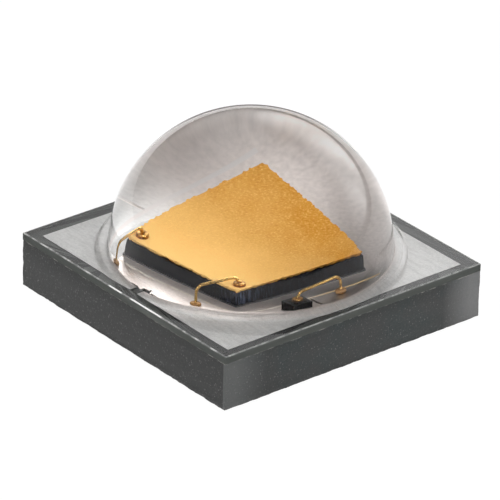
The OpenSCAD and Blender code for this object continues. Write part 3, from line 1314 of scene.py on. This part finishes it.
@dataclass
class Lens(SubAssembly):
    """The moulded silicone dome with its fillet, its collar and the film around it."""

    dome_r: float = 2.2
    fillet_r: float = 0.022
    collar_r: float = 2.42
    collar_h: float = 0.045
    slope_w: float = 0.12
    edge_r: float = 0.014
    edge_steps: int = 4
    turns: int = 256
    dome_steps: int = 72
    fillet_steps: int = 10
    slope_steps: int = 12
    side_gap: float = 0.002
    sink: float = 0.004
    support: float = 0.008
    flat_side: float = -86.0
    flat_width: float = 18.0
    flat_share: float = 0.92
    side_shade_tint: Colour = (0.085, 0.092, 0.085)

    def profile(self, film_top: float) -> list[Range]:
        """Work out the section from the top of the dome to the foot of its collar.

        Args:
            film_top: Height of the film.

        Returns:
            Points as radius and height.
        """
        reach, rise = self.dome_r + self.fillet_r, self.collar_h + self.fillet_r
        hollow, lift = math.sqrt(reach ** 2 - rise ** 2), math.asin(rise / reach)
        points = [(0.0, self.dome_r)]
        for i in range(1, self.dome_steps + 1):
            angle = math.pi / 2 + (lift - math.pi / 2) * i / self.dome_steps
            points.append((self.dome_r * math.cos(angle), self.dome_r * math.sin(angle)))
        for i in range(1, self.fillet_steps + 1):
            angle = math.pi + lift + (math.pi / 2 - lift) * i / self.fillet_steps
            points.append((hollow + self.fillet_r * math.cos(angle),
                           rise + self.fillet_r * math.sin(angle)))
        for i in range(self.slope_steps + 1):
            along = i / self.slope_steps
            points.append((self.collar_r - self.slope_w * (1 - along),
                           self.collar_h * (1 + math.cos(math.pi * along)) / 2))
        return [(radius, film_top + height) for radius, height in points]

    def build(self) -> list[Piece]:
        """Build and dress the lens.

        Returns:
            The pieces.
        """
        extent = Extent.of("silicone_lens")
        plate = Extent.of("ceramic_substrate")
        film_top = extent.high.z - self.dome_r
        shape = bmesh.new()
        lathe(shape, self.profile(film_top), Vector((0, 0, 0)), self.turns)
        bmesh.ops.remove_doubles(shape, verts=shape.verts, dist=SAME)
        for vert in shape.verts:
            lift = vert.co.z - film_top
            if lift < self.collar_h + self.fillet_r + SAME:
                vert.co.z = film_top + lift * self.collar_share(vert.co)
        self.add_film(shape, extent.high.x - self.side_gap, film_top, plate.high.z - self.sink)
        smooth = ClearSilicone().make()
        edge_light = PaintedEdgeLight().make()
        # Painted shade: the film's sawn sides are tinted dark and let little light through.
        sawn = ClearSilicone("sawn_silicone", self.side_shade_tint, 0.35, 0.002, 0.35).make()
        return [settle(shape, "moulded_lens", [smooth, edge_light, sawn],
                       ["silicone_lens"], crease=40.0)]

    def add_film(self, shape: Mesh, half: float, top: float, foot: float) -> None:
        """Grow the square film from the collar's rim and close it underneath.

        Args:
            shape: The dome with its collar.
            half: Half the film's side.
            top: Height of its upper face.
            foot: Height of its underside.
        """
        rim = self.grow(shape, rims(shape), self.collar_r + self.support)
        rim = self.grow(shape, rim, half - self.edge_r - self.support, top)
        top_faces = set(shape.faces)
        for i in range(self.edge_steps + 1):
            turn = math.pi / 2 * i / self.edge_steps
            rim = self.grow(shape, rim, half - self.edge_r * (1 - math.sin(turn)),
                            top - self.edge_r * (1 - math.cos(turn)))
        edge_faces = set(shape.faces) - top_faces
        rim = self.grow(shape, rim, half, top - self.edge_r - self.support)
        rim = self.grow(shape, rim, half, foot)
        for face in shape.faces:
            face.material_index = 0 if face in top_faces else 1 if face in edge_faces else 2
        bmesh.ops.contextual_create(shape, geom=rim)

    def collar_share(self, point: Vector) -> float:
        """How much of its height the collar has in a direction.

        Args:
            point: A point of the collar.

        Returns:
            The share, least on the side with the plus mark.
        """
        turn = math.degrees(math.atan2(point.y, point.x)) - self.flat_side
        turn = (turn + 180) % 360 - 180
        return 1 - self.flat_share * math.exp(-(turn / self.flat_width) ** 2)

    def grow(self, shape: Mesh, rim: Sequence[Edge], reach: float,
             height: float | None = None) -> list[Edge]:
        """Grow the shape from a rim to a square outline, or to a circle at the same height.

        Args:
            shape: The shape to grow.
            rim: The edges to grow from.
            reach: Half the side of the square, or the circle's radius.
            height: Height of the square, or None for a circle.

        Returns:
            The edges of the new rim.
        """
        points, edges = extend(shape, rim)
        for vert in points:
            if height is None:
                vert.co.xy = vert.co.xy.normalized() * reach
            else:
                scale = reach / max(abs(vert.co.x), abs(vert.co.y))
                vert.co = Vector((vert.co.x * scale, vert.co.y * scale, height))
        return edges


@dataclass(frozen=True)
class Lamp:
    """A soft round lamp that faces a point of the object."""

    name: str
    place: tuple[float, float, float]
    size: float
    power: float
    aim: tuple[float, float, float] = (0.0, 0.0, 1.0)

    def hang(self) -> Piece:
        """Hang the lamp.

        Returns:
            The lamp's object.
        """
        data = bpy.data.lights.new(self.name, "AREA")
        data.shape = "DISK"
        data.size = self.size * MM
        data.energy = self.power * MM * MM
        lamp = bpy.data.objects.new(self.name, data)
        place = Vector(self.place) * MM
        lamp.location = place
        lamp.rotation_euler = (place - Vector(self.aim) * MM).to_track_quat("Z", "Y").to_euler()
        lamp.visible_camera = False
        lamp.visible_glossy = False
        bpy.context.scene.collection.objects.link(lamp)
        return lamp


@dataclass(frozen=True)
class Glow:
    """A soft bright patch of the room, cut off below the height low where that is given."""

    azimuth: float
    elevation: float
    inner: float
    outer: float
    strength: float
    low: float = -90.0
    low_fade: float = 1.5

    def shine(self, room: Graph) -> Socket:
        """Work out the patch's light in a direction of the room.

        Args:
            room: The room's tree.

        Returns:
            The light.
        """
        a, e = math.radians(self.azimuth), math.radians(self.elevation)
        centre = (math.sin(a) * math.cos(e), -math.cos(a) * math.cos(e), math.sin(e))
        near = room.add("ShaderNodeVectorMath", {0: room.place, 1: centre},
                        operation="DOT_PRODUCT").outputs["Value"]
        soft = room.add("ShaderNodeMapRange", {
            "Value": near, "From Min": math.cos(math.radians(self.outer)),
            "From Max": math.cos(math.radians(self.inner)), "To Min": 0.0,
            "To Max": self.strength}, interpolation_type="SMOOTHSTEP").outputs["Result"]
        return room.both(soft, room.level(room.z, math.sin(math.radians(self.low)),
                                          math.sin(math.radians(self.low + self.low_fade))))


@dataclass
class Studio:
    """The floor, the soft light and the camera."""

    azimuth: float = 50.44
    elevation: float = 27.497
    distance: float = 79.97
    pixels_per_mm: float = 65.191
    roll: float = 1.366
    aim_side: float = -0.0139
    aim_height: float = 0.9225
    sensor: float = 36.0
    reach: Range = (1e-4, 20.0)
    floor_side: float = 4000.0
    horizon: float = 0.02
    ceiling: float = 0.03
    brighter: Range = (0.06, 0.14)
    backdrop: float = 1.03
    backdrop_share: float = 0.95
    floor_paint: Colour = (0.86, 0.86, 0.86)
    patches: tuple[Glow, ...] = (
        Glow(-175.0, 18.0, 8.0, 26.0, 2.3, 4.0),
        Glow(-150.0, 20.0, 6.0, 24.0, 2.2, 4.0),
        Glow(165.0, 12.0, 4.0, 17.0, 2.2, 4.0),
        Glow(-125.0, 22.0, 6.0, 24.0, 0.85),
        Glow(-115.0, 52.0, 6.0, 24.0, 1.2),
        Glow(-65.0, 52.0, 6.0, 24.0, 0.3),
    )
    lamps: tuple[Lamp, ...] = (
        Lamp("left_lamp", (0.0, -35.4, 35.4), 30.0, 13800.0),
        Lamp("right_lamp", (34.2, 9.2, 35.4), 30.0, 18300.0),
        Lamp("low_lamp", (-18.3, -39.2, 25.0), 30.0, 3900.0),
        Lamp("right_end_lamp", (8.0, 5.5, 1.8), 3.0, 30.0, aim=(2.5, 2.2, 0.5)),
    )

    def camera(self) -> None:
        """Set up the camera at the main view."""
        a, e, r = (math.radians(v) for v in (self.azimuth, self.elevation, self.roll))
        back = Vector((math.sin(a) * math.cos(e), -math.cos(a) * math.cos(e), math.sin(e)))
        side = Vector((math.cos(a), math.sin(a), 0.0))
        up = back.cross(side)
        right, top = side * math.cos(r) + up * math.sin(r), up * math.cos(r) - side * math.sin(r)
        place = Vector((0, 0, self.aim_height)) + side * self.aim_side + back * self.distance
        data = bpy.data.cameras.new("camera")
        data.sensor_width = self.sensor
        data.lens = self.sensor * self.pixels_per_mm * self.distance / FRAME_PIXELS
        data.clip_start, data.clip_end = self.reach
        data.dof.use_dof = False
        camera = bpy.data.objects.new("camera", data)
        turn = Matrix((right, top, back)).transposed().to_4x4()
        camera.matrix_world = Matrix.Translation(place * MM) @ turn
        bpy.context.scene.collection.objects.link(camera)
        bpy.context.scene.camera = camera

    def floor(self) -> None:
        """Lay the pale floor, which keeps the object's shadow."""
        shape = bmesh.new()
        bmesh.ops.create_grid(shape, x_segments=1, y_segments=1, size=self.floor_side * MM / 2)
        mesh = bpy.data.meshes.new("floor")
        shape.to_mesh(mesh)
        shape.free()
        g = Graph("pale_floor")
        paint = g.add("ShaderNodeBsdfDiffuse", {"Color": self.floor_paint})
        glow = g.add("ShaderNodeEmission", {"Color": WHITE, "Strength": self.backdrop})
        path = g.add("ShaderNodeLightPath")
        seen = g.maths("MAXIMUM", path.outputs["Is Camera Ray"], g.maths(
            "MAXIMUM", path.outputs["Is Glossy Ray"], path.outputs["Is Transmission Ray"]))
        share = g.maths("MULTIPLY", seen, self.backdrop_share)
        mixed = g.add("ShaderNodeMixShader", {0: share, 1: paint.outputs[0], 2: glow.outputs[0]})
        mesh.materials.append(g.show(mixed.outputs[0]))
        floor = bpy.data.objects.new("floor", mesh)
        bpy.context.scene.collection.objects.link(floor)

    def sky(self) -> None:
        """Fill the room with soft grey light and brighter patches."""
        room = Graph("soft_room", room=True)
        total = room.level(room.z, *self.brighter, self.horizon, self.ceiling)
        for patch in self.patches:
            total = room.maths("ADD", total, patch.shine(room))
        glow = room.add("ShaderNodeBackground", {"Color": total})
        room.add("ShaderNodeOutputWorld", {"Surface": glow.outputs[0]})
        bpy.context.scene.world = room.owner

    def set_up(self) -> None:
        """Set up everything around the object."""
        self.camera()
        self.floor()
        self.sky()
        for lamp in self.lamps:
            lamp.hang()
        bpy.context.scene.view_settings.view_transform = "Standard"


def bond_wires() -> list[SubAssembly]:
    """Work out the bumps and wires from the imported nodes' places.

    Returns:
        The two bump groups and the three wires.
    """
    chip_bumps, diode_bump = Extent.of("chip_bumps"), Extent.of("esd_bump")
    land_top = Extent.of("anode_land").high.z
    bump_r, ball_r = Bumps.bump_d / 2, BondWire.ball_d / 2
    parts: list[SubAssembly] = [
        Bumps("chip_bumps", 2, Extent.of("phosphor_layer").high.z),
        Bumps("esd_bump", 1, diode_bump.low.z),
    ]
    for node, bump_x in (("left_bond_wire", chip_bumps.low.x + bump_r),
                         ("right_bond_wire", chip_bumps.high.x - bump_r)):
        low = Extent.of(node).low
        parts.append(BondWire(node, Vector((low.x + ball_r, low.y + ball_r, land_top)),
                              Vector((bump_x, chip_bumps.centre.y, 0)), chip_bumps.high.z, 5.0))
    wire = Extent.of("esd_bond_wire")
    parts.append(BondWire("esd_bond_wire",
                          Vector((wire.low.x + ball_r, wire.high.y - ball_r, land_top)),
                          diode_bump.centre, diode_bump.high.z, 0.0))
    return parts


def main() -> None:
    """Build the pieces in order, then the studio."""
    logging.basicConfig(level=logging.INFO, format="%(name)s: %(message)s")
    parts: list[SubAssembly] = [
        Carrier(), Lands(), Chip(), ProtectionDiode(), *bond_wires(), Lens()]
    for part in parts:
        for piece in part.build():
            log.info("%s: %s, %d faces", type(part).__name__, piece.name,
                     len(piece.data.polygons))
    Studio().set_up()


if __name__ == "__main__":
    main()
